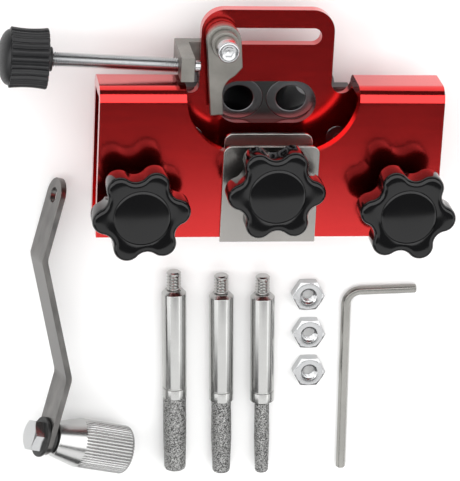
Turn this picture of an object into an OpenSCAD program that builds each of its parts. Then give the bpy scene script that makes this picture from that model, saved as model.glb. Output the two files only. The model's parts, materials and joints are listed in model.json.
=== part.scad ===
// Hand-cranked chain grinding jig with its loose tools, laid out flat.
// The jig lies on its back: +X right, +Y up its height, +Z out of its front.
// The origin is the middle of the guide block's rear face, which rests on z = 0.

/* [Frame] */
// Width of the bent sheet frame
frame_w = 113; // [100:1:130]
// Height of the frame's shoulders
frame_h = 51; // [48:1:54]
// Thickness of the frame's sheet
sheet_t = 4; // [3:0.5:4]
// Distance between the front face and the rear face
frame_d = 20; // [20:1:24]
// Height of the tab's top above the frame's lower edge
tab_h = 73; // [70:1:76]
// Width of the tab
tab_w = 44; // [41:1:45]

/* [Guide] */
// Depth of the block behind the frame
block_d = 16; // [14:1:18]
// Angle of each guide bore from the frame's normal
guide_angle = 30; // [25:1:32]
// Distance of each bore's centre from the middle, at the frame
guide_x = 8.7; // [8.5:0.1:9.5]
// Diameter of the tool shanks
shank_d = 8.5; // [8:0.1:8.6]

/* [Knobs] */
// Diameter over the star knobs' lobes
star_d = 32; // [28:1:34]
// Diameter of the clamp studs
stud_d = 6; // [5:1:6]
// Distance of the outer knobs from the middle
clamp_x = 43.5; // [41:0.5:45]

/* [Stop] */
// Distance of the pawl's pivot from the middle
pivot_x = 15.8; // [14:0.1:15.8]
// Angle at which the pawl hangs
pawl_angle = 5; // [0:1:6]
// Length of the adjuster's threaded rod
rod_l = 50; // [44:1:56]
// Angle of the adjuster's rod from the frame's width
rod_tilt = 2.6; // [0:0.1:3]

/* [Crank] */
// Width of the crank's strip
strip_w = 12; // [10:1:13]
// Thickness of the crank's strip
strip_t = 2.1; // [2:0.1:3]
// Diameter of the crank's handle
handle_d = 17; // [15:1:18]

/* [Tools] */
// Overall length of each grinding tool
tool_l = 75; // [70:0.5:80]
// Width across flats of the loose nuts
nut_af = 10; // [8:1:10]
// Width across flats of the hex key
key_af = 3; // [2.5:0.5:3]

/* [Hidden] */
$fn = 64;
eps = 0.01;
run = 0.05;              // radial clearance of a running fit
seat = 0.02;             // radial clearance of a part that stays put
gap = 0.15;              // gap between faces that slide past each other

// Heights of the frame's four faces
z_rear = block_d;
z_rear_in = z_rear + sheet_t;
z_front = z_rear + frame_d;
z_front_in = z_front - sheet_t;

// Positions along the frame's height, from its lower edge
mid_y = 36;              // the origin
guide_y = 41.4;
outer_knob_y = 13.3;
middle_knob_y = 20.5;
slot_y = 64;
bend_r = 5;              // outside radius of the frame's bends
cut_w = 56.8;            // width of the round-cornered cut-out
cut_r = 20;
cut_y = 28.5;
tab_x = -0.5;            // middle of the tab and its slot
tab_r = 7.5;
window_h = 14.4;
window_w = 33.2;
slot_h = 5.6;
slot_w = 35.6;
notch_y = 44.5;
block_screw_x = 24.6;
block_screw_y = 29;

// Guide block and tubes
flange_w = 57;
flange_y = [23, 45.3];
flange_t = 5;
boss_w = 43;
boss_top = 49.6;
tube_d = 14.2;
guide_r = shank_d / 2 + run;

// Star knobs
star_front = z_front + 17;
star_rim = 9;            // thickness of the lobes
hub_d = 15;
hub_l = 1.5;
knob_rear = star_front - star_rim - hub_l;
stud_top = star_front - 4;
cap_d = 18.4;
cap_t = 1.6;
cap_sink = 1.1;          // part of the cap that is inside the knob
lobes = 6;
lobe_r = 4.4;
valley_depth = 3.8;      // from the lobes' tips to the valleys between them
outer_tip = z_front - 7;
clamp_knobs = [           // x, y, lowest point of the stud, angle of the lobes
    [-clamp_x, outer_knob_y, outer_tip, 8],
    [0, middle_knob_y, z_front_in - 1.9, 3],
    [clamp_x, outer_knob_y, outer_tip, -6]
];

// Saddle, a strip folded under the front plate
saddle_w = 31.6;
saddle_t = 1.2;
saddle_top = 32;
leaf_top = 33.7;
leaf_w = 29.2;
saddle_r = 2.7;
saddle_front = z_front + 0.1;
leaf_front = z_front_in - 2.2;

// Stop: bracket, pawl and adjuster
pawl_t = 3;
pawl_r = 5.65;
pawl_l = 24.8;
pawl_leg = 4.25;
collar_r = 5.2;          // collar between the tab and the pawl
pawl_z = z_rear_in + 3.6;
bush_r = 3;
spigot_r = 2.4;
bush_flange_r = 4.5;
flange_top = pawl_z + pawl_t + gap + 3.4;
neck_r = 3.5;
bush_top = flange_top + 3.8;
screw_r = 2;             // cap screw
cap_head_r = 3.5;
cap_head_h = 4;
bracket_t = 4;
bracket_z = z_rear - gap - bracket_t;
ear_x = [-30.3, -26];
ear_y = [52.6, 60.7];
ear_top = z_front - 2.8;
rod_r = 2.5;
tip_r = 1.9;
tip_l = 2;
rod_at = [-22.6, 54.6, z_front - 13.3];  // the adjuster's free end
grip_d = 20;
grip_l = 12.4;
dome_l = 3.8;
flutes = 24;

// Crank
crank_turn = -15;
crank_roll = 14;
crank_at = [-69.6, -82];
strip_run = [23, 44, 27.8];              // end, middle and far stretches
strip_bend = 28;
hole_inset = 6;
bolt_r = 3;
bolt_af = 10;
bolt_head = 4;
disc_r = 7;
disc_t = 1.2;
spacer_r = 5;
spacer_t = 1.6;
handle_l = 28;
handle_cone = 9;
handle_small_d = 12;
handle_x = strip_t / 2 + spacer_t + 0.1;
handle_end = handle_x + handle_l;
far_x = -strip_run[1] * sin(strip_bend);
far_y = strip_run[0] + strip_run[1] * cos(strip_bend);
far_end = far_y + strip_run[2];
hole_y = far_end - hole_inset;
crank_z = handle_d / 2 * cos(crank_roll) + handle_end * sin(crank_roll);
edge_drop = crank_z - far_x * sin(crank_roll) - strip_w / 2 * cos(crank_roll);
crank_pitch = asin(edge_drop / far_end);

// Grinding tools: end of the thread, then the head's radii at its neck, middle and tip
tool_turn = 2.6;
thread_r = 2.5;
thread_l = 6.7;
body_l = 40.4;
groove_in = 4.2;
head_l = tool_l - thread_l - body_l;
core_in = 0.6;           // thickness of the grit
tools = [
    [-26.2, -25.2, [4.1, 4.1, 3.8]],
    [-9.7, -26.6, [3.45, 3.65, 3.1]],
    [4.7, -27, [2.6, 2.75, 2.35]]
];

// Nuts and key
nut_h = 4.2;
nuts = [[21.2, -35.1], [22.3, -49.5], [23.1, -63.9]];
key_at = [34.9, -34.2];
key_turn = 1.8;
key_long = 68;
key_short = 24.5;
key_bend = 5;            // radius of the key's bend, at its axis

// Moves a child from the frame's lower edge to the part's origin
module on_frame() {
    translate([0, -mid_y, 0]) children();
}

// Outline extruded along X: the child's X becomes Y and its Y becomes Z
module along_x(w) {
    translate([-w / 2, 0, 0]) rotate([90, 0, 90]) linear_extrude(w) children();
}

// Rectangle with all corners rounded, centred on X, from y = 0 up
module round_rect(w, h, r) {
    translate([-w / 2 + r, 0]) square([w - 2 * r, h]);
    translate([-w / 2, r]) square([w, h - 2 * r]);
    for (x = [-w / 2 + r, w / 2 - r], y = [r, h - r]) translate([x, y]) circle(r);
}

// Slot with round ends, centred
module stadium(w, h) {
    square([w - h, h], center = true);
    for (x = [-1, 1]) translate([x * (w - h) / 2, 0]) circle(d = h);
}

// Side view of one bent channel: height across, depth up
module channel_side(top, low, high, r) {
    square([top - r, high - low]);
    translate([0, r]) square([top, high - low - 2 * r]);
    for (z = [r, high - low - r]) translate([top - r, z]) circle(r);
}

module cut_outline() {
    translate([0, cut_y]) {
        translate([-(cut_w / 2 - cut_r), 0]) square([cut_w - 2 * cut_r, cut_r + eps]);
        for (x = [-1, 1]) translate([x * (cut_w / 2 - cut_r), cut_r]) circle(cut_r);
        translate([-cut_w / 2, cut_r]) square([cut_w, frame_h]);
    }
}

module frame_channel() {
    difference() {
        along_x(frame_w) translate([0, z_rear])
            channel_side(frame_h, z_rear, z_front, bend_r);
        along_x(frame_w + 2) translate([-eps, z_rear_in])
            channel_side(frame_h - sheet_t + eps, z_rear_in, z_front_in, 1);
        // round-cornered cut-out left by the tab
        translate([0, 0, z_rear_in]) linear_extrude(frame_d) cut_outline();
        // relief notches beside the tab
        for (x = [-1, 1]) {
            notch_w = cut_w / 2 - tab_w / 2 - x * tab_x;
            translate([x * (cut_w - notch_w) / 2, notch_y + notch_w / 2, z_rear - eps]) {
                cylinder(d = notch_w, h = frame_d);
                translate([-notch_w / 2, 0, 0]) cube([notch_w, frame_h, frame_d]);
            }
        }
    }
}

module frame() {
    color([0.62, 0.05, 0.08]) on_frame() difference() {
        union() {
            frame_channel();
            translate([tab_x, notch_y / 2, z_rear]) linear_extrude(sheet_t)
                round_rect(tab_w, tab_h - notch_y / 2, tab_r);
        }
        // slot for the stop's screw, and the window onto the chain
        translate([tab_x, slot_y, z_rear - 1]) linear_extrude(sheet_t + 2)
            stadium(slot_w, slot_h);
        translate([0, guide_y, z_rear - 1]) linear_extrude(sheet_t + 2)
            stadium(window_w, window_h);
        for (k = clamp_knobs)
            translate([k[0], k[1], z_front_in - 1])
                cylinder(r = stud_d / 2 + run, h = sheet_t + 2);
        for (x = [-1, 1])
            translate([x * block_screw_x, block_screw_y, 0]) {
                cylinder(r = screw_r + seat, h = z_rear_in + 1);
                translate([0, 0, z_rear_in - 2.2]) cylinder(r1 = screw_r, r2 = 4.05, h = 2.21);
            }
    }
}

// A cylinder along a guide bore, cut flush with the block's two faces
module guide_cylinder(side, r, top, bottom) {
    intersection() {
        translate([side * guide_x, guide_y, z_rear]) rotate([0, -side * guide_angle, 0])
            cylinder(r = r, h = 3 * block_d, center = true);
        translate([-frame_w / 2, 0, bottom]) cube([frame_w, frame_h, top - bottom]);
    }
}

module guide_block() {
    color([0.30, 0.31, 0.30]) on_frame() difference() {
        union() {
            translate([-flange_w / 2, flange_y[0], z_rear - flange_t])
                cube([flange_w, flange_y[1] - flange_y[0], flange_t]);
            translate([-boss_w / 2, flange_y[0], 0])
                cube([boss_w, boss_top - flange_y[0], z_rear]);
        }
        for (side = [-1, 1]) guide_cylinder(side, tube_d / 2 + seat, z_rear + 1, -1);
        for (x = [-1, 1])
            translate([x * block_screw_x, block_screw_y, z_rear - flange_t - 1])
                cylinder(r = screw_r + seat, h = flange_t + 2);
    }
}

module guide_tube(side) {
    color([0.16, 0.16, 0.17]) on_frame() difference() {
        guide_cylinder(side, tube_d / 2, z_rear, 0);
        guide_cylinder(side, guide_r, z_rear + 1, -1);
    }
}

module block_screws() {
    color("silver") on_frame() for (x = [-1, 1])
        translate([x * block_screw_x, block_screw_y, 0]) difference() {
            union() {
                translate([0, 0, z_rear - flange_t]) cylinder(r = screw_r, h = flange_t + sheet_t - 2.2);
                translate([0, 0, z_rear_in - 2.2]) cylinder(r1 = screw_r, r2 = 4, h = 2.2);
            }
            translate([0, 0, z_rear_in - 1.4]) cylinder(d = 2.9, h = 2, $fn = 6);
        }
}

module saddle_plate() {
    base_z = leaf_front - saddle_t;
    front_z = saddle_front + saddle_t;
    color([0.66, 0.66, 0.65]) on_frame() {
        difference() {
            union() {
                translate([0, 0, saddle_front]) linear_extrude(saddle_t) intersection() {
                    round_rect(saddle_w, saddle_top, saddle_r);
                    translate([-saddle_w / 2, saddle_r]) square([saddle_w, saddle_top]);
                }
                translate([0, 0, base_z]) linear_extrude(saddle_t) intersection() {
                    round_rect(leaf_w, leaf_top, saddle_r);
                    translate([-leaf_w / 2, saddle_r]) square([leaf_w, leaf_top]);
                }
                along_x(leaf_w) difference() {
                    translate([-saddle_t - 0.1, base_z]) square([saddle_r + 2, front_z - base_z]);
                    translate([-0.1, base_z + saddle_t])
                        square([saddle_r + 3, front_z - base_z - 2 * saddle_t]);
                }
                for (x = [-1, 1])
                    translate([x * (saddle_w + leaf_w) / 4, 0, saddle_front])
                        translate([-(saddle_w - leaf_w) / 4, -saddle_t - 0.1, 0])
                            cube([(saddle_w - leaf_w) / 2, saddle_r + 2, saddle_t]);
            }
            translate([0, middle_knob_y, z_front - 1]) cylinder(r = stud_d / 2 + 0.3, h = 4);
        }
    }
}

// Places a child at the stop's pivot
module at_pivot() {
    on_frame() translate([-pivot_x, slot_y, 0]) children();
}

module stop_bracket() {
    color([0.42, 0.41, 0.39]) {
        difference() {
            union() {
                at_pivot() translate([0, 0, bracket_z]) cylinder(r = pawl_r, h = bracket_t);
                on_frame() translate([ear_x[0], ear_y[0], bracket_z])
                    cube([-pivot_x - ear_x[0], ear_y[1] - ear_y[0], bracket_t]);
                on_frame() translate([ear_x[0], ear_y[0], bracket_z])
                    cube([ear_x[1] - ear_x[0], ear_y[1] - ear_y[0], ear_top - bracket_z]);
            }
            at_pivot() translate([0, 0, bracket_z - 1])
                cylinder(r = screw_r + seat, h = bracket_t + 2);
            on_rod() translate([0, 0, -1]) cylinder(r = rod_r + run, h = 20);
        }
    }
}

module pawl_bush() {
    color([0.45, 0.44, 0.43]) at_pivot() difference() {
        union() {
            translate([0, 0, z_rear]) cylinder(r = spigot_r, h = sheet_t + gap + eps);
            translate([0, 0, z_rear_in + gap]) cylinder(r = collar_r, h = pawl_z - z_rear_in - 2 * gap);
            translate([0, 0, z_rear_in + gap]) cylinder(r = bush_r, h = flange_top - z_rear_in - gap);
            translate([0, 0, pawl_z + pawl_t + gap])
                cylinder(r = bush_flange_r, h = flange_top - pawl_z - pawl_t - gap);
            translate([0, 0, flange_top - eps]) cylinder(r = neck_r, h = bush_top - flange_top + eps);
        }
        translate([0, 0, z_rear - 1]) cylinder(r = screw_r + seat, h = bush_top);
    }
}

module pawl_screw() {
    color("silver") at_pivot() difference() {
        union() {
            translate([0, 0, bracket_z]) cylinder(r = screw_r, h = bush_top - bracket_z);
            translate([0, 0, bush_top]) cylinder(r = cap_head_r, h = cap_head_h);
        }
        translate([0, 0, bush_top + cap_head_h - 2.2])
            cylinder(d = (key_af + 0.1) / cos(30), h = 3, $fn = 6);
    }
}

module pawl_outline() {
    arc_r = 7;
    arc_at = [pawl_leg - pawl_r + arc_r, 6.4 - pawl_l];
    difference() {
        union() {
            circle(pawl_r);
            translate([-pawl_r, -pawl_l]) square([2 * pawl_r, pawl_l]);
        }
        translate(arc_at) circle(arc_r);
        translate([pawl_leg - pawl_r, -pawl_l - 1]) square([3 * pawl_r, pawl_l + 1 + arc_at[1]]);
        translate([pawl_r, 15.6 - pawl_l]) rotate(-45) translate([0, -6]) square([10, 6]);
    }
}

module stop_pawl() {
    color([0.40, 0.40, 0.38]) at_pivot() translate([0, 0, pawl_z]) rotate(pawl_angle)
        linear_extrude(pawl_t) difference() {
            pawl_outline();
            circle(bush_r + run);
        }
}

// Places a child on the adjuster's axis: z = 0 is the free end, z runs to the grip
module on_rod() {
    on_frame() translate(rod_at) rotate([0, 0, -rod_tilt]) rotate([0, -90, 0]) children();
}

module adjuster_screw() {
    color("silver") on_rod() {
        cylinder(r = tip_r, h = tip_l + eps);
        translate([0, 0, tip_l]) cylinder(r = rod_r, h = rod_l + 6 - tip_l);
    }
}

module adjuster_knob() {
    color([0.10, 0.10, 0.11]) on_rod() translate([0, 0, rod_l - 1.4]) difference() {
        union() {
            cylinder(d = 8, h = 1.4 + eps);
            translate([0, 0, 1.4]) rotate_extrude() polygon(concat(
                [[0, 0], [grip_d / 2, 0], [grip_d / 2 - 0.5, grip_l / 2], [grip_d / 2, grip_l]],
                [for (a = [0:10:90]) [(grip_d / 2 - 1) * cos(a), grip_l + dome_l * sin(a)]]
            ));
        }
        for (i = [0:flutes - 1]) rotate(i * 360 / flutes)
            translate([grip_d / 2 + 0.35, 0, 0]) cylinder(r = 0.9, h = grip_l + 1.4, $fn = 20);
        translate([0, 0, -1]) cylinder(r = rod_r + run, h = 8.5);
    }
}

module clamp_stud(k) {
    color("silver") on_frame() translate([k[0], k[1], k[2]]) {
        cylinder(r1 = stud_d / 2 - 0.6, r2 = stud_d / 2, h = 0.6);
        translate([0, 0, 0.6 - eps]) cylinder(r = stud_d / 2, h = stud_top - k[2] - 0.6 + eps);
    }
}

// Lobes and valleys are arcs that meet tangentially
module star_outline() {
    half_step = 180 / lobes;
    lobe_at = star_d / 2 - lobe_r;
    valley_low = star_d / 2 - valley_depth;
    toward = lobe_at * cos(half_step);
    aside = lobe_at * sin(half_step);
    valley_r = (pow(valley_low - toward, 2) + aside * aside - lobe_r * lobe_r)
        / (2 * (lobe_r - valley_low + toward));
    difference() {
        union() {
            polygon([for (i = [0:2 * lobes - 1])
                (i % 2 == 0 ? lobe_at : valley_low + valley_r) * [cos(i * half_step), sin(i * half_step)]]);
            for (i = [0:lobes - 1]) rotate(2 * i * half_step) translate([lobe_at, 0]) circle(lobe_r);
        }
        for (i = [0:lobes - 1]) rotate((2 * i + 1) * half_step)
            translate([valley_low + valley_r, 0]) circle(valley_r);
    }
}

module star_knob(k) {
    color([0.04, 0.04, 0.045]) on_frame() translate([k[0], k[1], 0]) difference() {
        union() {
            translate([0, 0, knob_rear]) cylinder(d = hub_d, h = hub_l + 1);
            translate([0, 0, knob_rear + hub_l]) rotate(k[3])
                linear_extrude(star_rim) star_outline();
        }
        translate([0, 0, knob_rear - 1]) cylinder(r = stud_d / 2 + run, h = stud_top - knob_rear + 1.2);
        translate([0, 0, star_front - cap_sink]) cylinder(d = cap_d + 2 * seat, h = 2);
    }
}

module knob_cap(k) {
    color([0.06, 0.06, 0.065]) on_frame() translate([k[0], k[1], star_front - cap_sink]) {
        cylinder(d = cap_d, h = cap_sink + eps);
        translate([0, 0, cap_sink]) cylinder(d1 = cap_d, d2 = cap_d - 1.6, h = cap_t - cap_sink);
    }
}

// Places a child in the crank's frame: X along the handle, Y along the strip's end
module on_crank() {
    on_frame() translate([crank_at[0], crank_at[1], crank_z]) rotate([0, 0, crank_turn])
        rotate([-crank_pitch, 0, 0]) rotate([0, crank_roll, 0]) children();
}

// The strip seen on its edge, with its two bends
module crank_edge() {
    corner = strip_t / 2 * [1, tan(strip_bend / 2)];
    bends = [[0, strip_run[0]], [far_x, far_y]];
    polygon([
        [strip_t / 2, -strip_w / 2], bends[0] + corner, bends[1] + corner, [far_x + strip_t / 2, far_end],
        [far_x - strip_t / 2, far_end], bends[1] - corner, bends[0] - corner, [-strip_t / 2, -strip_w / 2]
    ]);
}

module crank_arm() {
    color([0.38, 0.38, 0.37]) on_crank() difference() {
        intersection() {
            linear_extrude(strip_w, center = true) crank_edge();
            translate([0, (far_end - strip_w / 2) / 2, 0]) rotate([0, 0, 90]) rotate([90, 0, 0])
                linear_extrude(3 * strip_run[1], center = true) stadium(far_end + strip_w / 2, strip_w);
        }
        rotate([0, 90, 0]) cylinder(r = bolt_r + seat, h = 10, center = true);
        translate([far_x, hole_y, 0]) rotate([0, 90, 0])
            cylinder(r = thread_r + run, h = 10, center = true);
    }
}

module crank_bolt() {
    color("silver") on_crank() rotate([0, 90, 0]) {
        shank_x = -strip_t / 2 - disc_t - 0.1;
        translate([0, 0, shank_x - bolt_head])
            rotate(15) cylinder(d = bolt_af / cos(30), h = bolt_head, $fn = 6);
        translate([0, 0, shank_x - eps]) cylinder(r = bolt_r, h = handle_end - 3 - shank_x);
    }
}

module crank_disc() {
    color([0.16, 0.16, 0.16]) on_crank() translate([-strip_t / 2 - disc_t - 0.05, 0, 0])
        rotate([0, 90, 0]) difference() {
            cylinder(r = disc_r, h = disc_t);
            translate([0, 0, -1]) cylinder(r = bolt_r + seat, h = 5);
        }
}

module crank_spacer() {
    color([0.12, 0.12, 0.12]) on_crank() translate([strip_t / 2 + 0.05, 0, 0])
        rotate([0, 90, 0]) difference() {
            cylinder(r = spacer_r, h = spacer_t - 0.1);
            translate([0, 0, -1]) cylinder(r = bolt_r + seat, h = 5);
        }
}

module crank_handle() {
    nut_seat = 6.5;
    color([0.80, 0.80, 0.80]) on_crank() translate([handle_x, 0, 0]) rotate([0, 90, 0])
        difference() {
            union() {
                cylinder(d1 = handle_small_d, d2 = handle_d, h = handle_cone);
                translate([0, 0, handle_cone - eps])
                    cylinder(d = handle_d, h = handle_l - handle_cone - 1.5);
                translate([0, 0, handle_l - 1.5 - 2 * eps])
                    cylinder(d1 = handle_d, d2 = handle_d - 3, h = 1.5);
            }
            translate([0, 0, -1]) cylinder(r = bolt_r + run, h = handle_l + 2);
            translate([0, 0, handle_l - nut_seat]) cylinder(d = 12.2, h = nut_seat + 1);
        }
}

module handle_nut() {
    color("silver") on_crank() translate([handle_end - 6.2, 0, 0]) rotate([0, 90, 0])
        difference() {
            cylinder(d = 8 / cos(30) + 1.4, h = 3, $fn = 6);
            translate([0, 0, -1]) cylinder(r = bolt_r + seat, h = 6);
        }
}

// Places a child on a tool's axis: z = 0 is the thread's end, z runs to the grinding head
module on_tool(t) {
    on_frame() translate([t[0], t[1], shank_d / 2]) rotate([90, 0, tool_turn]) children();
}

module tool(t) {
    chamfer = 1.2;
    shoulder = min(3, max(0, shank_d / 2 - t[2][0] - 0.7));
    color([0.72, 0.72, 0.72]) on_tool(t) {
        cylinder(r1 = thread_r - 0.4, r2 = thread_r, h = 0.6);
        translate([0, 0, 0.6 - eps]) cylinder(r = thread_r, h = thread_l - 0.6 + 2 * eps);
        translate([0, 0, thread_l]) cylinder(r1 = shank_d / 2 - chamfer, r2 = shank_d / 2, h = chamfer);
        difference() {
            translate([0, 0, thread_l + chamfer - eps])
                cylinder(r = shank_d / 2, h = body_l - chamfer + eps);
            translate([0, 0, thread_l + body_l - groove_in]) rotate_extrude()
                translate([shank_d / 2 - 0.2, 0]) square([1, 0.5]);
        }
        translate([0, 0, thread_l + body_l - eps])
            cylinder(r1 = shank_d / 2 - 0.1, r2 = max(t[2][0] - core_in, 1.8), h = shoulder + 2 * eps);
        translate([0, 0, thread_l + body_l - eps])
            cylinder(r = min(t[2][2], t[2][0]) - core_in, h = head_l - core_in);
    }
}

module grit(t) {
    neck = min(3, max(0, shank_d / 2 - t[2][0] - 0.7)) + 0.1;
    start = thread_l + body_l + neck;
    span = head_l - neck;
    core = min(t[2][2], t[2][0]) - core_in + seat;
    color([0.45, 0.45, 0.45]) on_tool(t) translate([0, 0, start]) difference() {
        union() {
            cylinder(r1 = t[2][0], r2 = t[2][1], h = span / 2 + eps);
            translate([0, 0, span / 2]) cylinder(r1 = t[2][1], r2 = t[2][2], h = span / 2 - 0.8 + eps);
            translate([0, 0, span - 0.8]) cylinder(r1 = t[2][2], r2 = t[2][2] - 0.7, h = 0.8);
        }
        translate([0, 0, -1]) cylinder(r = core, h = span - core_in + 1 + seat);
    }
}

module loose_nut(at) {
    chamfer = 0.5;
    color("silver") on_frame() translate([at[0], at[1], 0]) difference() {
        intersection() {
            cylinder(d = nut_af / cos(30), h = nut_h, $fn = 6);
            union() {
                cylinder(d1 = nut_af - 0.2, d2 = nut_af / cos(30), h = chamfer);
                translate([0, 0, chamfer]) cylinder(d = nut_af / cos(30) + 0.1, h = nut_h - 2 * chamfer);
                translate([0, 0, nut_h - chamfer])
                    cylinder(d1 = nut_af / cos(30), d2 = nut_af - 0.2, h = chamfer);
            }
        }
        translate([0, 0, -1]) cylinder(r = thread_r + run, h = nut_h + 2);
    }
}

module hex_key() {
    color([0.55, 0.55, 0.53]) on_frame() translate([key_at[0], key_at[1], key_af / 2])
        rotate(key_turn) {
            translate([0, -key_bend, 0]) rotate([90, 0, 0])
                cylinder(d = key_af / cos(30), h = key_long - key_bend, $fn = 6);
            translate([key_bend, 0, 0]) rotate([0, 90, 0]) rotate(30)
                cylinder(d = key_af / cos(30), h = key_short - key_bend, $fn = 6);
            translate([key_bend, -key_bend, 0]) rotate([0, 0, 90]) rotate_extrude(angle = 90)
                translate([key_bend, 0]) circle(d = key_af / cos(30), $fn = 6);
        }
}

frame();
guide_block();
guide_tube(-1);  // guide_tube_left
guide_tube(1);  // guide_tube_right
block_screws();
saddle_plate();
stop_bracket();
pawl_bush();
pawl_screw();
stop_pawl();
adjuster_screw();
adjuster_knob();
clamp_stud(clamp_knobs[0]);  // left_stud
star_knob(clamp_knobs[0]);  // left_knob
knob_cap(clamp_knobs[0]);  // left_knob_cap
clamp_stud(clamp_knobs[1]);  // middle_stud
star_knob(clamp_knobs[1]);  // middle_knob
knob_cap(clamp_knobs[1]);  // middle_knob_cap
clamp_stud(clamp_knobs[2]);  // right_stud
star_knob(clamp_knobs[2]);  // right_knob
knob_cap(clamp_knobs[2]);  // right_knob_cap
crank_arm();
crank_bolt();
crank_disc();
crank_spacer();
crank_handle();
handle_nut();
tool(tools[0]);  // large_tool
grit(tools[0]);  // large_grit
tool(tools[1]);  // medium_tool
grit(tools[1]);  // medium_grit
tool(tools[2]);  // small_tool
grit(tools[2]);  // small_grit
loose_nut(nuts[0]);  // top_nut
loose_nut(nuts[1]);  // middle_nut
loose_nut(nuts[2]);  // bottom_nut
hex_key();
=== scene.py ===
import json
import math
import bpy
import bmesh
from mathutils import Matrix, Vector, noise


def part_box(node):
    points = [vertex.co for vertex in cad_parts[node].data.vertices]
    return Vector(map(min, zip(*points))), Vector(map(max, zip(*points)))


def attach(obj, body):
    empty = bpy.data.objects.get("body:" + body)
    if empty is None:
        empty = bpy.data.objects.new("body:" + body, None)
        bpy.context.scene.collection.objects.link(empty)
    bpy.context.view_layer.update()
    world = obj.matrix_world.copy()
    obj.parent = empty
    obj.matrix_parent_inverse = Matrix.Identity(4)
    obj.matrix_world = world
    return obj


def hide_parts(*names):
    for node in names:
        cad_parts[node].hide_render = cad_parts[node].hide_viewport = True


# The looks of a chain grinding jig with its loose tools. All lengths are in metres.

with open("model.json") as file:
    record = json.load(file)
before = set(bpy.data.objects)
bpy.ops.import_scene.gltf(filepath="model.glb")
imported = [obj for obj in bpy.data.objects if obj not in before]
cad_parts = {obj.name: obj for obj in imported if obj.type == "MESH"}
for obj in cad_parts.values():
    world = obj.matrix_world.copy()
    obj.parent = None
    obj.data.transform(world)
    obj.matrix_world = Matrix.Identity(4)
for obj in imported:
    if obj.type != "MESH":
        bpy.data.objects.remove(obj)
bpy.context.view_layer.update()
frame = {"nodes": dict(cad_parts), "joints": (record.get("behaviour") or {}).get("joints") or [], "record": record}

MM = 0.001
JOINTS = {joint["name"]: joint for joint in frame["joints"]}
MOUNTS = {mount["name"]: mount for mount in frame["record"]["mounts"]}

# Camera: direction and roll of the view, the point in the picture's middle, and the lens
VIEW_AZIMUTH = 8.67
VIEW_TILT = 21.62
VIEW_ROLL = 2.91
VIEW_POINT = Vector((-0.0097, -0.0437, 0.020))
VIEW_DISTANCE = 0.919
VIEW_LENS = 205

# Rounding of the CAD's own edges: usual width, steps, and the least angle of an edge that is rounded.
# An edge whose angle lies between the two fold angles is a bend in a strip.
EDGE_ROUND = 0.35 * MM
EDGE_STEPS = 3
EDGE_ANGLE = 32
FOLD_ANGLES = (20, 32)
FOLD_STEPS = 5

# Pivot of the stop
PIVOT_GAP = 0.15 * MM
TAB_THICK = 4 * MM
SPIGOT_R = 2.4 * MM
COLLAR_R = 5.2 * MM
JOURNAL_R = 3 * MM
FLANGE_R = 4.5 * MM
NECK_R = 3.5 * MM
NECK_L = 3.8 * MM
CAP_HEAD_R = 3.5 * MM
CAP_SOCKET = 3.1 * MM
CAP_SOCKET_DEEP = 2.2 * MM
CAP_KNURLS = 48

# Adjuster's grip
GRIP_RIBS = 24
GRIP_R = 10 * MM
GRIP_WAIST = 0.5 * MM
GRIP_DOME = 3.8 * MM
GRIP_COLLAR_R = 4 * MM
ROD_R = 2.5 * MM
ROD_TIP_R = 1.9 * MM

# Studs and star knobs
STUD_R = 3 * MM
DISC_R = 9.22 * MM
DISC_GROOVE = 0.16 * MM
STAR_R = 16 * MM
LOBES = 6
LOBE_R = 4.4 * MM
VALLEY_DEPTH = 3.8 * MM
KNOB_ROUND = 1.5 * MM
STUD_PITCH = 1.0 * MM
ROD_PITCH = 0.8 * MM
TOOL_PITCH = 1.1 * MM
LOBE_TURNS = {"left": 8, "middle": 3, "right": -6}

# Crank fittings
BOLT_HEAD = 4 * MM
BOLT_ACROSS = 10 * MM
BOLT_R = 3 * MM
END_NUT_ACROSS = 9.2 * MM
FITTING_BORE = 3.02 * MM
FITTING_RADII = {"crank_disc": 7 * MM, "crank_spacer": 5 * MM}
FITTING_EDGE = 0.4 * MM

# Handle
HANDLE_RIBS = 44
HANDLE_CONE = 9 * MM
HANDLE_R = 8.5 * MM
HANDLE_END = 1.5 * MM

# Grinding tools: radii of the head at its neck, middle and tip
HEADS = {
    "large": (4.1 * MM, 4.1 * MM, 3.8 * MM),
    "medium": (3.45 * MM, 3.65 * MM, 3.1 * MM),
    "small": (2.6 * MM, 2.75 * MM, 2.35 * MM),
}
THREAD_L = 6.7 * MM
THREAD_R = 2.5 * MM
SHANK_R = 4.25 * MM
GROOVE_DEEP = 0.3 * MM
GRAIN = 0.16 * MM
HEAD_ROUND = 0.8 * MM
BODY_L = 40.4 * MM
GROOVE_IN = 4.2 * MM

# Hex key
KEY_TURN = math.radians(1.8)
KEY_LONG = 68 * MM
KEY_SHORT = 24.5 * MM
KEY_BEND = 5 * MM
KEY_R = 3 * MM / math.sqrt(3)


# ---------------------------------------------------------------- measuring the frame

def axes(origin, z_axis, x_hint=(0, 0, 1)):
    """Matrix that puts a piece made along Z onto an axis of the part."""
    z = Vector(z_axis).normalized()
    x = Vector(x_hint) - z * Vector(x_hint).dot(z)
    if x.length < 0.01:
        x = Vector((1, 0, 0)) - z * z.x
    x.normalize()
    y = z.cross(x)
    matrix = Matrix((x, y, z)).transposed().to_4x4()
    matrix.translation = Vector(origin)
    return matrix


def span(node, place):
    """Lowest and highest distance of a CAD node along a place's Z axis."""
    inverse = place.inverted()
    heights = [(inverse @ v.co).z for v in frame["nodes"][node].data.vertices]
    return min(heights), max(heights)


# ---------------------------------------------------------------- materials

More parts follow.
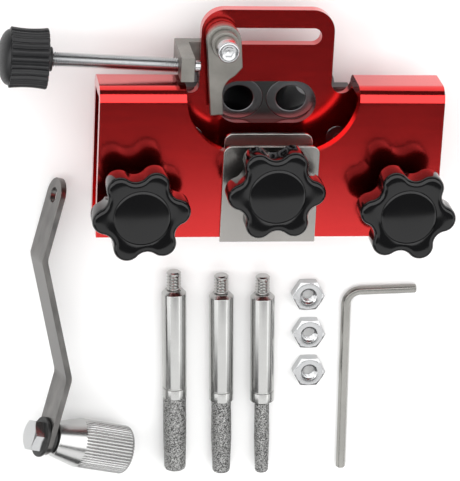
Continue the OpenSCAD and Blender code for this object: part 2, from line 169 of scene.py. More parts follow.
class Surface:
    """A node material with one Principled shader, built up by short calls."""

    def __init__(self, name, color, metallic, roughness):
        self.material = bpy.data.materials.new(name)
        self.material.use_nodes = True
        self.tree = self.material.node_tree
        self.shader = self.tree.nodes["Principled BSDF"]
        self.put("Base Color", (*color, 1))
        self.put("Metallic", metallic)
        self.put("Roughness", roughness)
        self.coords = self.tree.nodes.new("ShaderNodeTexCoord").outputs["Object"]

    def put(self, socket, value):
        self.shader.inputs[socket].default_value = value
        return self

    def link(self, output, socket):
        self.tree.links.new(output, socket)

    def coat(self, weight, roughness):
        return self.put("Coat Weight", weight).put("Coat Roughness", roughness)

    def noise(self, scale, detail=3, stretch=(1, 1, 1)):
        mapping = self.tree.nodes.new("ShaderNodeMapping")
        mapping.inputs["Scale"].default_value = stretch
        texture = self.tree.nodes.new("ShaderNodeTexNoise")
        texture.inputs["Scale"].default_value = scale
        texture.inputs["Detail"].default_value = detail
        self.link(self.coords, mapping.inputs["Vector"])
        self.link(mapping.outputs["Vector"], texture.inputs["Vector"])
        return texture.outputs["Fac"]

    def cells(self, scale):
        texture = self.tree.nodes.new("ShaderNodeTexVoronoi")
        texture.inputs["Scale"].default_value = scale
        self.link(self.coords, texture.inputs["Vector"])
        return texture

    def spread(self, factor, low, high, start=0.35, end=0.65):
        """Maps a factor's middle range to low..high."""
        node = self.tree.nodes.new("ShaderNodeMapRange")
        for socket, value in zip(("From Min", "From Max", "To Min", "To Max"), (start, end, low, high)):
            node.inputs[socket].default_value = value
        self.link(factor, node.inputs["Value"])
        return node.outputs["Result"]

    def rough(self, factor, low, high):
        self.link(self.spread(factor, low, high), self.shader.inputs["Roughness"])
        return self

    def tint(self, factor, dark, light, start=0.35, end=0.65):
        ramp = self.tree.nodes.new("ShaderNodeValToRGB")
        ramp.color_ramp.elements[0].position = start
        ramp.color_ramp.elements[0].color = (*dark, 1)
        ramp.color_ramp.elements[1].position = end
        ramp.color_ramp.elements[1].color = (*light, 1)
        self.link(factor, ramp.inputs["Fac"])
        self.link(ramp.outputs["Color"], self.shader.inputs["Base Color"])
        return self

    def bump(self, factor, depth):
        node = self.tree.nodes.new("ShaderNodeBump")
        node.inputs["Distance"].default_value = depth
        node.inputs["Strength"].default_value = 1.0
        self.link(factor, node.inputs["Height"])
        if self.shader.inputs["Normal"].is_linked:
            previous = self.shader.inputs["Normal"].links[0].from_socket
            self.link(previous, node.inputs["Normal"])
        self.link(node.outputs["Normal"], self.shader.inputs["Normal"])
        return self


def scaled(color, factor):
    return tuple(channel * factor for channel in color)


def brushed(name, color, roughness, grain, depth=2e-7, contrast=0.08):
    """Metal with fine streaks; grain is how far the noise is squeezed along each axis."""
    surface = Surface(name, color, 1.0, roughness)
    streaks = surface.noise(900, 3, grain)
    clouds = surface.noise(60, 3)
    surface.tint(clouds, scaled(color, 1 - contrast), color)
    surface.rough(streaks, roughness * 0.96, roughness * 1.05)
    surface.bump(streaks, depth)
    return surface.material


def red_anodised():
    color = (0.66, 0.020, 0.020)
    surface = Surface("red_anodised", color, 1.0, 0.22)
    streaks = surface.noise(500, 3, (0.12, 1, 1))
    clouds = surface.noise(38, 3)
    surface.tint(clouds, scaled(color, 0.92), color)
    surface.rough(streaks, 0.15, 0.165)
    return surface.coat(0.45, 0.12).material


def diamond_grit():
    surface = Surface("diamond_grit", (0.3, 0.3, 0.3), 0.85, 0.4)
    grains = surface.cells(3600)
    surface.tint(grains.outputs["Color"], (0.07, 0.07, 0.068), (0.60, 0.60, 0.59), 0.30, 0.90)
    surface.rough(grains.outputs["Color"], 0.25, 0.6)
    surface.bump(grains.outputs["Distance"], 6e-5)
    return surface.material


def knob_plastic():
    surface = Surface("knob_plastic", (0.004, 0.004, 0.0043), 0.0, 0.1)
    peel = surface.noise(350, 2)
    smudge = surface.noise(40, 4)
    surface.rough(smudge, 0.07, 0.13)
    surface.bump(peel, 2e-6)
    return surface.put("Specular IOR Level", 0.32).material


def ribbed_plastic():
    surface = Surface("ribbed_plastic", (0.009, 0.009, 0.010), 0.0, 0.42)
    grain = surface.noise(2200, 3)
    surface.tint(surface.noise(150, 3), (0.007, 0.007, 0.008), (0.011, 0.011, 0.012))
    surface.rough(grain, 0.36, 0.5)
    surface.bump(grain, 3e-6)
    return surface.put("Specular IOR Level", 0.35).material


def black_washer():
    surface = Surface("black_washer", (0.02, 0.02, 0.02), 0.3, 0.5)
    grain = surface.noise(1200, 3)
    surface.tint(grain, (0.014, 0.014, 0.014), (0.035, 0.035, 0.034))
    surface.rough(grain, 0.4, 0.65)
    return surface.bump(grain, 1e-5).material


def blasted_steel():
    color = (0.25, 0.24, 0.22)
    surface = Surface("blasted_steel", color, 1.0, 0.42)
    grain = surface.noise(1500, 4)
    surface.tint(surface.noise(120, 5), scaled(color, 0.85), scaled(color, 1.1))
    surface.rough(grain, 0.38, 0.46)
    return surface.bump(grain, 3e-6).material


def crank_steel():
    color = (0.16, 0.155, 0.15)
    surface = Surface("crank_steel", color, 1.0, 0.36)
    scale_spots = surface.noise(260, 6, (1, 0.35, 1))
    surface.tint(scale_spots, scaled(color, 0.72), scaled(color, 1.25), 0.3, 0.7)
    surface.rough(scale_spots, 0.28, 0.38)
    return surface.bump(surface.noise(1400, 3), 3e-6).material


MATERIALS = {
    "red_anodised": red_anodised(),
    "block_steel": brushed("block_steel", (0.06, 0.06, 0.06), 0.34, (0.05, 1, 1)),
    "guide_steel": brushed("guide_steel", (0.14, 0.14, 0.145), 0.26, (1, 1, 0.2)),
    "stainless": brushed("stainless", (0.42, 0.405, 0.385), 0.24, (1, 0.06, 1), 1e-7),
    "blasted_steel": blasted_steel(),
    "zinc_steel": brushed("zinc_steel", (0.50, 0.505, 0.51), 0.22, (1, 1, 1)),
    "ribbed_plastic": ribbed_plastic(),
    "knob_plastic": knob_plastic(),
    "crank_steel": crank_steel(),
    "black_washer": black_washer(),
    "handle_aluminium": brushed("handle_aluminium", (0.50, 0.50, 0.495), 0.24, (1, 1, 1)),
    "ground_steel": brushed("ground_steel", (0.48, 0.48, 0.47), 0.2, (0.2, 1, 0.2)),
    "diamond_grit": diamond_grit(),
    "key_steel": brushed("key_steel", (0.34, 0.335, 0.315), 0.24, (1, 0.15, 1), 4e-7, 0.12),
}
SLOTS = {part["node"]: part["material_slot"] for part in frame["record"]["subparts"]}
BODIES = {node: body for body, nodes in frame["record"]["behaviour"]["bodies"].items() for node in nodes}


# ---------------------------------------------------------------- mesh tools

def finish_piece(name, mesh, *nodes, sharp=40):
    """Makes the object, which takes its material and body from the first CAD node that it stands for."""
    mesh.shade_smooth()
    mesh.set_sharp_from_angle(angle=math.radians(sharp))
    obj = bpy.data.objects.new(name, mesh)
    bpy.context.scene.collection.objects.link(obj)
    slot = SLOTS[nodes[0]]
    mesh.materials.clear()
    mesh.materials.append(MATERIALS[slot])
    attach(obj, BODIES[nodes[0]])
    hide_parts(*nodes)
    return obj


def loft(rings, place, closed=False):
    """Mesh through rings of points, with the ends capped, or joined into a loop when closed."""
    count = len(rings[0])
    verts = [place @ Vector(point) for ring in rings for point in ring]
    faces = []
    for i in range(len(rings) if closed else len(rings) - 1):
        a, b = i * count, (i + 1) % len(rings) * count
        for j in range(count):
            k = (j + 1) % count
            faces.append((a + j, a + k, b + k, b + j))
    if not closed:
        faces.append(tuple(reversed(range(count))))
        faces.append(tuple(range((len(rings) - 1) * count, len(rings) * count)))
    mesh = bpy.data.meshes.new("loft")
    mesh.from_pydata(verts, [], faces)
    bm = bmesh.new()
    bm.from_mesh(mesh)
    bmesh.ops.recalc_face_normals(bm, faces=bm.faces)
    bm.to_mesh(mesh)
    bm.free()
    mesh.update()
    return mesh


def turned_rings(profile, segments=72, shape=None):
    """Rings around Z through (z, r) points; shape(angle, z, r) may change the radius."""
    rings = []
    for z, r in profile:
        ring = []
        for j in range(segments):
            angle = math.tau * j / segments
            radius = shape(angle, z, r) if shape else r
            ring.append((radius * math.cos(angle), radius * math.sin(angle), z))
        rings.append(ring)
    return rings


def eased(points, steps=4, closed=False):
    """Rounds the corners of a profile. A point is (z, r) or (z, r, radius of its corner)."""
    result = []
    count = len(points)
    for i, point in enumerate(points):
        here = Vector(point[:2])
        radius = point[2] if len(point) > 2 else 0
        if radius == 0 or (not closed and i in (0, count - 1)):
            result.append(tuple(here))
            continue
        before = Vector(points[i - 1][:2]) - here
        after = Vector(points[(i + 1) % count][:2]) - here
        half = before.angle(after) / 2
        cut = min(radius / math.tan(half), 0.49 * before.length, 0.49 * after.length)
        start, end = here + before.normalized() * cut, here + after.normalized() * cut
        for s in range(steps + 1):
            t = s / steps
            result.append(tuple((1 - t) ** 2 * start + 2 * t * (1 - t) * here + t * t * end))
    return result


def along_z(z0, z1, step):
    count = max(1, round((z1 - z0) / step))
    return [z0 + (z1 - z0) * i / count for i in range(count + 1)]


def thread_shape(start, end, pitch, side=1):
    """Radius of a helical thread between two heights; side -1 is a nut's thread, which grows inwards."""
    depth = 0.61 * pitch
    fade = 0.7 * pitch

    def shape(angle, z, r):
        if not start < z < end:
            return r
        phase = (z / pitch - angle / math.tau) % 1
        groove = max(0, min(1, 1.25 * abs(2 * phase - 1) - 0.12))
        edge = min(1, (z - start) / fade, (end - z) / fade)
        return r - depth * groove * edge if side > 0 else r - depth * (1 - groove) * edge
    return shape


def hex_radius(angle, across):
    return across / 2 / math.cos(angle % (math.pi / 3) - math.pi / 6)


def refined(node, width, bends=0.0):
    """The CAD node's own shape with its edges rounded by width, and a strip's folds by bends."""
    mesh = frame["nodes"][node].data.copy()
    bm = bmesh.new()
    bm.from_mesh(mesh)
    bmesh.ops.remove_doubles(bm, verts=bm.verts, dist=2e-6)
    bmesh.ops.dissolve_limit(bm, angle_limit=math.radians(0.5), verts=bm.verts, edges=bm.edges)
    if bends:
        least, most = FOLD_ANGLES
        folds = [e for e in bm.edges if e.is_manifold and least < math.degrees(e.calc_face_angle()) < most
                 and e.calc_length() > 3 * bends]
        bmesh.ops.bevel(bm, geom=folds, offset=bends, segments=FOLD_STEPS, affect="EDGES", profile=0.5,
                        clamp_overlap=True)
    edges = [e for e in bm.edges if e.is_manifold and e.calc_face_angle() > math.radians(EDGE_ANGLE)]
    bmesh.ops.bevel(bm, geom=edges, offset=width, segments=EDGE_STEPS, affect="EDGES", profile=0.5,
                    clamp_overlap=True, miter_outer="ARC")
    bmesh.ops.triangulate(bm, faces=[f for f in bm.faces if len(f.verts) > 4])
    bmesh.ops.recalc_face_normals(bm, faces=bm.faces)
    bm.to_mesh(mesh)
    bm.free()
    obj = finish_piece(node + "_piece", mesh, node, sharp=50)
    weighted = obj.modifiers.new("weighted", "WEIGHTED_NORMAL")
    weighted.keep_sharp = True
    weighted.weight = 80


# ---------------------------------------------------------------- the jig

def sheet_and_plates():
    """Pieces that keep the CAD's own shape, with their edges rounded."""
    refined("frame", 0.4 * MM)
    refined("guide_block", 0.4 * MM)
    refined("saddle_plate", 0.2 * MM)
    refined("stop_bracket", EDGE_ROUND)
    refined("stop_pawl", EDGE_ROUND)
    refined("crank_arm", EDGE_ROUND, bends=1.2 * MM)
    for side in ("left", "right"):
        refined(f"guide_tube_{side}", 0.3 * MM)
    refined("block_screws", 0.12 * MM)


def pivot():
    """Bush with its collar, flange and neck, and the cap screw with a knurled head and a hex socket."""
    place = axes(JOINTS["pawl_swing"]["pos_m"], (0, 0, 1), (1, 0, 0))
    low, high = span("pawl_bush", place)
    bore = 2.02 * MM
    pawl_low, pawl_high = span("stop_pawl", place)
    tab_face = low + TAB_THICK + PIVOT_GAP
    collar_top = pawl_low - PIVOT_GAP
    flange = pawl_high + PIVOT_GAP
    neck = high - NECK_L
    profile = eased([
        (low, bore), (low, SPIGOT_R, 0.1 * MM), (tab_face, SPIGOT_R), (tab_face, COLLAR_R, 0.3 * MM),
        (collar_top, COLLAR_R, 0.3 * MM), (collar_top, JOURNAL_R), (flange, JOURNAL_R),
        (flange, FLANGE_R, 0.3 * MM), (neck, FLANGE_R, 0.4 * MM), (neck, NECK_R, 0.15 * MM),
        (high, NECK_R, 0.25 * MM), (high, bore),
    ], closed=True)
    finish_piece("pivot_bush", loft(turned_rings(profile), place, closed=True), "pawl_bush")

    rear, top = span("pawl_screw", place)
    head = high
    socket_floor = top - CAP_SOCKET_DEEP
    segments = 96

    def knurl(angle, z, r):
        if r > 3.45 * MM and head + 0.4 * MM < z < top - 0.6 * MM:
            return r - 0.07 * MM * (0.5 + 0.5 * math.cos(CAP_KNURLS * angle))
        return r

    def hexagon(angle, z, r):
        return hex_radius(angle, CAP_SOCKET)

    side = [(z, CAP_HEAD_R) for z in along_z(head + 0.3 * MM, top - 0.5 * MM, 0.25 * MM)]
    outside = [(rear, 1.7 * MM), (rear + 0.3 * MM, 2 * MM), (head, 2 * MM), (head, 3.3 * MM)] + side
    outside += [(top - 0.25 * MM, 3.42 * MM), (top - 0.06 * MM, 3.22 * MM), (top, 2.95 * MM)]
    outside += [(top, 2.15 * MM), (top - 0.12 * MM, 1.95 * MM)]
    rings = turned_rings(outside, segments, knurl)
    rings += turned_rings([(top - 0.25 * MM, 0), (socket_floor, 0)], segments, hexagon)
    rings += turned_rings([(socket_floor - 0.3 * MM, 0.4 * MM)], segments)
    finish_piece("pivot_cap_screw", loft(rings, place), "pawl_screw")


def adjuster():
    """Threaded rod with a dog tip, and the ribbed grip with its domed end."""
    axis = Vector(JOINTS["adjuster_turn"]["axis"])
    place = axes(JOINTS["adjuster_turn"]["pos_m"], axis)
    low, high = span("adjuster_screw", place)
    tip = high - 2 * MM
    profile = [(low, 2.1 * MM), (low + 0.4 * MM, ROD_R)]
    profile += [(z, ROD_R) for z in along_z(low + 3 * MM, tip - 0.5 * MM, ROD_PITCH / 8)]
    profile += [(tip, 2.1 * MM), (tip, ROD_TIP_R), (high - 0.35 * MM, ROD_TIP_R), (high, 1.5 * MM)]
    thread = thread_shape(low + 3 * MM, tip - 0.4 * MM, ROD_PITCH)
    finish_piece("adjuster_rod", loft(turned_rings(profile, 48, thread), place), "adjuster_screw")

    end, collar = span("adjuster_knob", place)
    shoulder = collar - 1.4 * MM
    rim = end + GRIP_DOME

    def ribbed(angle, z, r):
        if r < 9.0 * MM or z < rim - 0.01 * MM:
            return r
        wave = 0.5 - 0.5 * math.cos(GRIP_RIBS * angle)
        return r - 0.75 * MM * wave ** 1.6

    grip = []
    for z in along_z(rim + 0.35 * MM, shoulder - 0.5 * MM, 0.8 * MM):
        t = (z - rim) / (shoulder - rim)
        grip.append((z, GRIP_R - GRIP_WAIST * 4 * t * (1 - t)))
    dome_arc = [(rim - 0.02 * MM - GRIP_DOME * math.sin(a), 9.05 * MM * math.cos(a))
                for a in [math.radians(5 * i) for i in range(17, -1, -1)]]
    profile = [(end + 0.008 * MM, 0.3 * MM)] + dome_arc + [(rim, 9.35 * MM), (rim + 0.12 * MM, 9.75 * MM)]
    profile += grip + [(shoulder - 0.2 * MM, 9.8 * MM), (shoulder, 9.4 * MM), (shoulder, 5.2 * MM)]
    profile += [(shoulder, 4.2 * MM), (shoulder + 0.25 * MM, GRIP_COLLAR_R)]
    profile += [(collar - 0.3 * MM, GRIP_COLLAR_R)]
    profile += [(collar, 3.7 * MM), (collar, 2.56 * MM), (collar - 7 * MM, 2.56 * MM)]
    finish_piece("adjuster_grip", loft(turned_rings(profile, 240, ribbed), place), "adjuster_knob", sharp=30)


def star_outline(per_arc=9):
    """Points and outward normals of the star: six lobes and six valleys, all arcs that meet tangentially."""
    half = math.pi / LOBES
    lobe_at = STAR_R - LOBE_R
    valley_low = STAR_R - VALLEY_DEPTH
    toward, aside = lobe_at * math.cos(half), lobe_at * math.sin(half)
    valley_r = ((valley_low - toward) ** 2 + aside ** 2 - LOBE_R ** 2) / (2 * (LOBE_R - valley_low + toward))
    valley_at = valley_low + valley_r
    lobe, valley = Vector((lobe_at, 0)), Vector((valley_at * math.cos(half), valley_at * math.sin(half)))
    meet = (valley - lobe).normalized()
    lobe_end = math.atan2(meet.y, meet.x)
    points = []
    for i in range(LOBES):
        turn = Matrix.Rotation(2 * half * i, 2)
        for s in range(-per_arc, per_arc):
            normal = Vector((math.cos(lobe_end * s / per_arc), math.sin(lobe_end * s / per_arc)))
            points.append((turn @ (lobe + normal * LOBE_R), turn @ normal))
        # the valley's arc is seen from its own centre, so its normals point inwards from there
        first = math.atan2(meet.y, meet.x)
        last = 2 * half - first
        for s in range(2 * per_arc):
            angle = first + (last - first) * s / (2 * per_arc)
            normal = Vector((math.cos(angle), math.sin(angle)))
            points.append((turn @ (valley - normal * valley_r), turn @ normal))
    return points


def star_knob(side):
    """Six-lobed knob with rounded rims, a hub behind it and a slightly domed disc in front."""
    place = axes(JOINTS[f"{side}_knob_turn"]["pos_m"], (0, 0, 1), (1, 0, 0))
    place = place @ Matrix.Rotation(math.radians(LOBE_TURNS[side]), 4, "Z")
    low, high = span(f"{side}_knob", place)
    rear = low + 1.5 * MM
    outline = star_outline()
    bore, hub, disc = 3.05 * MM, 7.5 * MM, DISC_R
    deep = span(f"{side}_knob_cap", place)[0]

    def round_ring(z, r):
        return [(p.normalized() * r).to_tuple() + (z,) for p, n in outline]

    def star_ring(z, inset):
        return [(p - n * inset).to_tuple() + (z,) for p, n in outline]

    rings = [round_ring(deep - 6 * MM, bore), round_ring(low, bore), round_ring(low, hub - 0.3 * MM),
             round_ring(low + 0.3 * MM, hub), round_ring(rear, hub)]
    edge = 0.8 * MM
    rings += [star_ring(rear + edge * (1 - math.cos(a)), edge * (1 - math.sin(a)))
              for a in [math.radians(22.5 * i) for i in range(5)]]
    rings += [star_ring(high - KNOB_ROUND * (1 - math.sin(a)), KNOB_ROUND * (1 - math.cos(a)))
              for a in [math.radians(15 * i) for i in range(7)]]
    rings += [round_ring(high, disc + 0.2 * MM), round_ring(high - 0.06 * MM, disc + 0.05 * MM),
              round_ring(high - 0.3 * MM, disc), round_ring(deep, disc), round_ring(deep, bore)]
    finish_piece(f"{side}_star_knob", loft(rings, place), f"{side}_knob", sharp=55)

    top = span(f"{side}_knob_cap", place)[1]
    rim = disc - DISC_GROOVE
    flat = top - 0.35 * MM
    profile = [(deep, rim - 0.3 * MM), (deep + 0.3 * MM, rim)]
    profile += [(flat - 0.12 * MM, rim), (flat, rim - 0.15 * MM)]
    profile += [(flat + (top - flat) * (1 - t * t), (rim - 0.15 * MM) * t)
                for t in (0.92, 0.84, 0.72, 0.6, 0.45, 0.3, 0.15, 0.03)]
    finish_piece(f"{side}_knob_disc", loft(turned_rings(profile, 96), place), f"{side}_knob_cap", sharp=50)


def clamp_stud(side):
    place = axes(JOINTS[f"{side}_knob_turn"]["pos_m"], (0, 0, 1), (1, 0, 0))
    low, high = span(f"{side}_stud", place)
    r = STUD_R
    profile = [(low, r - 0.6 * MM)]
    profile += [(z, r) for z in along_z(low + 0.6 * MM, high - 0.5 * MM, STUD_PITCH / 8)]
    profile += [(high, r - 0.5 * MM)]
    thread = thread_shape(low + 0.6 * MM, high - 0.5 * MM, STUD_PITCH)
    finish_piece(f"{side}_clamp_screw", loft(turned_rings(profile, 36, thread), place), f"{side}_stud")


# ---------------------------------------------------------------- the crank

def crank_place():
    """The crank's own frame: Z along the handle, X along the strip."""
    joint = JOINTS["handle_spin"]
    hole = Vector(MOUNTS["crank_hole"]["pos_m"])
    return axes(joint["pos_m"], joint["axis"], hole - Vector(joint["pos_m"]))


def hex_bolt_rings(low, high, across, segments=96):
    """Hex head with the usual cone chamfer on its outer face at low."""
    inner = across / 2 * 0.95
    slope = math.tan(math.radians(28))

    def side(angle, z, r):
        return hex_radius(angle, across)

    chamfered = []
    for j in range(segments):
        angle = math.tau * j / segments
        r = hex_radius(angle, across)
        chamfered.append((r * math.cos(angle), r * math.sin(angle), low + (r - inner) * slope))
    rings = turned_rings([(low, 0.5 * MM), (low, inner - 0.3 * MM), (low, inner)], segments)
    rings += [chamfered] + turned_rings([(high, 0)], segments, side)
    return rings


def crank_fittings():
    place = crank_place()
    low, high = span("crank_bolt", place)
    head = low + BOLT_HEAD
    turned_head = place @ Matrix.Rotation(math.radians(15), 4, "Z")
    shank = turned_rings([(head, BOLT_R), (high - 0.5 * MM, BOLT_R), (high, BOLT_R - 0.5 * MM)], 96)
    finish_piece("crank_hex_bolt", loft(hex_bolt_rings(low, head, BOLT_ACROSS) + shank, turned_head),
                 "crank_bolt", sharp=25)

    for node, radius in FITTING_RADII.items():
        z0, z1 = span(node, place)
        profile = eased([
            (z0, FITTING_BORE), (z0, radius, FITTING_EDGE), (z1, radius, FITTING_EDGE), (z1, FITTING_BORE),
        ], closed=True)
        finish_piece(node + "_piece", loft(turned_rings(profile, 96), place, closed=True), node)

    z0, z1 = span("handle_nut", place)
    nut = turned_rings([(z0, FITTING_BORE)], 72)
    nut += turned_rings([(z0, 0), (z1, 0)], 72, lambda a, z, r: hex_radius(a, END_NUT_ACROSS))
    nut += turned_rings([(z1, FITTING_BORE)], 72)
    finish_piece("handle_end_nut", loft(nut, place, closed=True), "handle_nut", sharp=25)


def crank_handle():
    """Aluminium handle: a plain cone, straight ribs and a rounded end."""
    place = crank_place()
    z0, z1 = span("crank_handle", place)
    cone = z0 + HANDLE_CONE
    r = HANDLE_R

    def ribbed(angle, z, radius):
        if z < cone + 0.2 * MM or radius < 6.9 * MM:
            return radius
        grow = min(1, (z - cone) / (0.9 * MM))
        wave = abs(math.sin(HANDLE_RIBS * angle / 2))
        return radius - 0.42 * MM * grow * (1 - wave) ** 1.4

    profile = [(z0, 3.06 * MM), (z0, 5.6 * MM), (z0 + 0.12 * MM, 5.9 * MM), (z0 + 0.4 * MM, 6.1 * MM)]
    profile += [(cone, r - 0.05 * MM), (cone + 0.15 * MM, r)]
    profile += [(z, r) for z in along_z(cone + 0.4 * MM, z1 - HANDLE_END, 2 * MM)]
    profile += [(z1 - HANDLE_END * (1 - math.sin(a)), r - HANDLE_END * (1 - math.cos(a)))
                for a in [math.radians(15 * i) for i in range(1, 7)]]
    profile += [(z1, 6.4 * MM), (z1 - 0.3 * MM, 6.1 * MM)]
    profile += [(z1 - 6.5 * MM, 6.1 * MM), (z1 - 6.5 * MM, 3.06 * MM)]
    finish_piece("ribbed_handle", loft(turned_rings(profile, HANDLE_RIBS * 8, ribbed), place, closed=True),
                 "crank_handle", sharp=35)


# ---------------------------------------------------------------- the loose pieces

def grinding_tool(size):
    """Ground shank with a threaded end and a groove, and its coarse grit head."""
    mount = MOUNTS[f"{size}_tool_thread"]
    direction = -Vector(mount["axis"])
    place = axes(mount["pos_m"], direction)
    low, _ = span(f"{size}_tool", place)
    place = place @ Matrix.Translation((0, 0, low))
    neck, middle, tip = HEADS[size]
    shank = SHANK_R
    shoulder = THREAD_L + BODY_L
    groove = shoulder - GROOVE_IN
    slope = min(3 * MM, max(0, shank - neck - 0.7 * MM))
    total = span(f"{size}_grit", place)[1]
    core = min(tip, neck) - 0.6 * MM

    profile = [(0, THREAD_R - 0.5 * MM), (0.45 * MM, THREAD_R)]
    profile += [(z, THREAD_R) for z in along_z(0.6 * MM, THREAD_L - 0.5 * MM, TOOL_PITCH / 10)]
    profile += [(THREAD_L, 2.15 * MM)]
    profile += eased([
        (THREAD_L, 2.9 * MM), (THREAD_L + 0.01 * MM, 3.05 * MM, 0.2 * MM),
        (THREAD_L + 1.2 * MM, shank, 0.3 * MM), (groove - 0.1 * MM, shank, 0.1 * MM),
        (groove, shank - GROOVE_DEEP), (groove + 0.5 * MM, shank - GROOVE_DEEP),
        (groove + 0.6 * MM, shank, 0.1 * MM), (shoulder - 0.1 * MM, shank, 0.2 * MM),
        (shoulder + 0.02 * MM, shank - 0.25 * MM),
        (shoulder + slope + 0.02 * MM, max(neck - 0.5 * MM, 1.8 * MM)),
        (shoulder + slope + 0.3 * MM, core), (total - 0.8 * MM, core),
    ])
    thread = thread_shape(0.6 * MM, THREAD_L - 0.4 * MM, TOOL_PITCH)
    finish_piece(f"{size}_shank", loft(turned_rings(profile, 64, thread), place), f"{size}_tool")

    start = span(f"{size}_grit", place)[0]
    length = total - start
    seed = Vector((neck * 9000, 0, 0))

    def gritty(angle, z, r):
        if r < 1.2 * MM:
            return r
        point = Vector((r * math.cos(angle), r * math.sin(angle), z)) * 3000 + seed
        lumps = noise.noise(point) * 0.6 + noise.noise(point * 2.3) * 0.4
        return r - GRAIN * (0.5 - max(-0.5, min(0.5, lumps * 1.1)))

    def radius(t):
        return neck + (middle - neck) * 2 * t if t < 0.5 else middle + (tip - middle) * (2 * t - 1)

    rounding = HEAD_ROUND
    outer = [(start, core + 0.25 * MM), (start, neck - 0.25 * MM), (start + 0.2 * MM, neck)]
    outer += [(z, radius((z - start) / length))
              for z in along_z(start + 0.4 * MM, total - rounding, 0.2 * MM)]
    outer += [(total - rounding * (1 - math.sin(a)), tip - rounding * (1 - math.cos(a)))
              for a in [math.radians(18 * i) for i in range(1, 6)]]
    outer += [(total, (tip - rounding) * t) for t in (0.8, 0.6, 0.4, 0.2)]
    mesh = loft(turned_rings(outer, 120, gritty), place)
    finish_piece(f"{size}_grit_head", mesh, f"{size}_grit", sharp=180)


def loose_nut(name):
    """Hex nut with chamfered corners, a countersunk bore and a real thread in it."""
    mount = MOUNTS[f"{name}_nut_thread"]
    low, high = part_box(f"{name}_nut")
    place = axes((mount["pos_m"][0], mount["pos_m"][1], 0), (0, 0, 1), (1, 0, 0))
    segments = 96
    across = high.y - low.y
    inner = across / 2 * 0.955
    slope = 0.5
    bore = 2.55 * MM

    def corners(z, sign):
        ring = []
        for j in range(segments):
            angle = math.tau * j / segments
            r = hex_radius(angle, across)
            ring.append((r * math.cos(angle), r * math.sin(angle), z - sign * (r - inner) * slope))
        return ring

    thread = thread_shape(low.z + 0.2 * MM, high.z - 0.2 * MM, ROD_PITCH, side=-1)
    inside = [(z, bore) for z in along_z(low.z + 0.45 * MM, high.z - 0.45 * MM, ROD_PITCH / 10)]
    rings = turned_rings([(low.z, 2.95 * MM)] + inside + [(high.z - 0.03 * MM, 2.95 * MM)], segments, thread)
    rings += turned_rings([(high.z, 3.05 * MM), (high.z, inner - 0.25 * MM)], segments)
    rings += turned_rings([(high.z - 0.01 * MM, inner)], segments)
    rings += [corners(high.z - 0.02 * MM, 1), corners(low.z + 0.02 * MM, -1)]
    rings += turned_rings([(low.z + 0.01 * MM, inner), (low.z, inner - 0.25 * MM)], segments)
    finish_piece(f"{name}_hex_nut", loft(rings, place, closed=True), f"{name}_nut", sharp=25)


def hex_key():
    """L-shaped key: a hexagon with eased corners swept along two arms and their bend."""
    low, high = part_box("hex_key")
    c, s = math.cos(KEY_TURN), math.sin(KEY_TURN)
    corner = Vector((high.x - KEY_SHORT * c, low.y + KEY_LONG * c + KEY_R * s, (low.z + high.z) / 2))
    place = Matrix.Translation(corner) @ Matrix.Rotation(KEY_TURN, 4, "Z")
    place = place @ Matrix.Translation((-KEY_R * s, 0, 0))
    section = []
    for i in range(6):
        for offset in (-7, -2.5, 2.5, 7):
            angle = math.radians(60 * i + offset)
            r = KEY_R * (0.985 if abs(offset) < 5 else 1) * math.cos(math.radians(30))
            r /= math.cos(math.radians(30) - math.radians(abs(offset)))
            section.append((r * math.cos(angle), r * math.sin(angle)))
    stations = [((0, -KEY_LONG), 0, 0.8), ((0, -KEY_LONG + 0.35 * MM), 0, 1)]
    stations += [((0, -KEY_LONG + (KEY_LONG - KEY_BEND) * t), 0, 1) for t in (0.25, 0.5, 0.75)]
    for i in range(19):
        a = math.radians(5 * i)
        stations.append(((KEY_BEND - KEY_BEND * math.cos(a), -KEY_BEND + KEY_BEND * math.sin(a)), a, 1))
    stations += [((KEY_SHORT - 0.35 * MM, 0), math.pi / 2, 1), ((KEY_SHORT, 0), math.pi / 2, 0.8)]
    rings = []
    for (x, y), turn, size in stations:
        # the section's first direction turns with the path and stays in the floor's plane
        across = Vector((math.cos(turn), -math.sin(turn), 0))
        rings.append([(Vector((x, y, 0)) + across * u * size + Vector((0, 0, v * size))).to_tuple()
                      for u, v in section])
    finish_piece("hex_key_piece", loft(rings, place), "hex_key", sharp=35)


# ---------------------------------------------------------------- stage, lights and camera

def floor():
    size = 3.0
    mesh = bpy.data.meshes.new("floor")
    corners = [(-size, -size, 0), (size, -size, 0), (size, size, 0), (-size, size, 0)]
    mesh.from_pydata(corners, [], [(0, 1, 2, 3)])
    surface = Surface("pale_floor", (0.95, 0.95, 0.945), 0.0, 0.6)
    surface.tint(surface.noise(3, 2), (0.945, 0.945, 0.94), (0.955, 0.955, 0.95))
    mesh.materials.append(surface.material)
    obj = bpy.data.objects.new("floor", mesh)
    bpy.context.scene.collection.objects.link(obj)


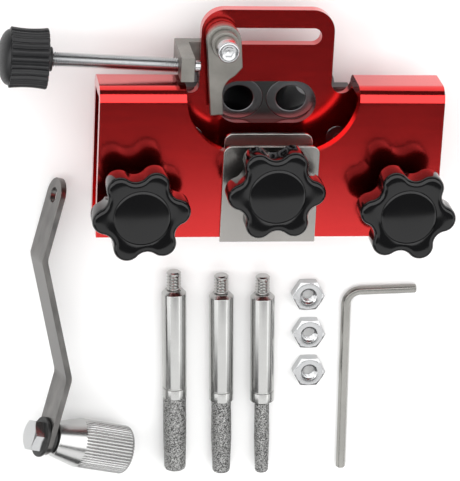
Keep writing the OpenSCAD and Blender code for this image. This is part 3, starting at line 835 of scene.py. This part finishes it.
def softbox(name, centre, size, radiance, lean=0.0):
    """Rectangular light above the object, as bright as a surface of that radiance."""
    light = bpy.data.lights.new(name, "AREA")
    light.shape = "RECTANGLE"
    light.size, light.size_y = size
    light.energy = math.pi * size[0] * size[1] * radiance
    obj = bpy.data.objects.new(name, light)
    bpy.context.scene.collection.objects.link(obj)
    obj.location = centre
    obj.rotation_euler = (0, math.radians(lean), 0)


def studio():
    world = bpy.data.worlds.new("studio")
    world.use_nodes = True
    world.node_tree.nodes["Background"].inputs["Color"].default_value = (0.10, 0.10, 0.101, 1)
    bpy.context.scene.world = world
    softbox("front_softbox", (0.15, -1.085, 1.05), (2.2, 1.36), 1.35)
    softbox("rear_softbox", (0.0, 0.64, 1.00), (2.2, 1.50), 2.35)
    softbox("left_softbox", (-1.30, -0.10, 0.80), (1.0, 1.6), 1.7, lean=-60)
    softbox("right_softbox", (1.30, -0.10, 0.80), (1.0, 1.6), 1.1, lean=60)
    bpy.context.scene.view_settings.view_transform = "Standard"


def camera():
    azimuth, tilt, roll = (math.radians(a) for a in (VIEW_AZIMUTH, VIEW_TILT, VIEW_ROLL))
    level = math.cos(tilt)
    towards = Vector((-math.sin(azimuth) * level, math.sin(tilt), math.cos(azimuth) * level))
    right = Vector((0, 1, 0)).cross(towards).normalized()
    up = towards.cross(right)
    rotation = Matrix((right, up, towards)).transposed() @ Matrix.Rotation(roll, 3, "Z")
    data = bpy.data.cameras.new("camera")
    data.lens = VIEW_LENS
    obj = bpy.data.objects.new("camera", data)
    bpy.context.scene.collection.objects.link(obj)
    obj.matrix_world = Matrix.Translation(VIEW_POINT + towards * VIEW_DISTANCE) @ rotation.to_4x4()
    bpy.context.scene.camera = obj


camera()
studio()
floor()
sheet_and_plates()
pivot()
adjuster()
for knob_side in ("left", "middle", "right"):
    star_knob(knob_side)
    clamp_stud(knob_side)
crank_fittings()
crank_handle()
for tool_size in HEADS:
    grinding_tool(tool_size)
for nut_name in ("top", "middle", "bottom"):
    loose_nut(nut_name)
hex_key()

bpy.context.view_layer.update()
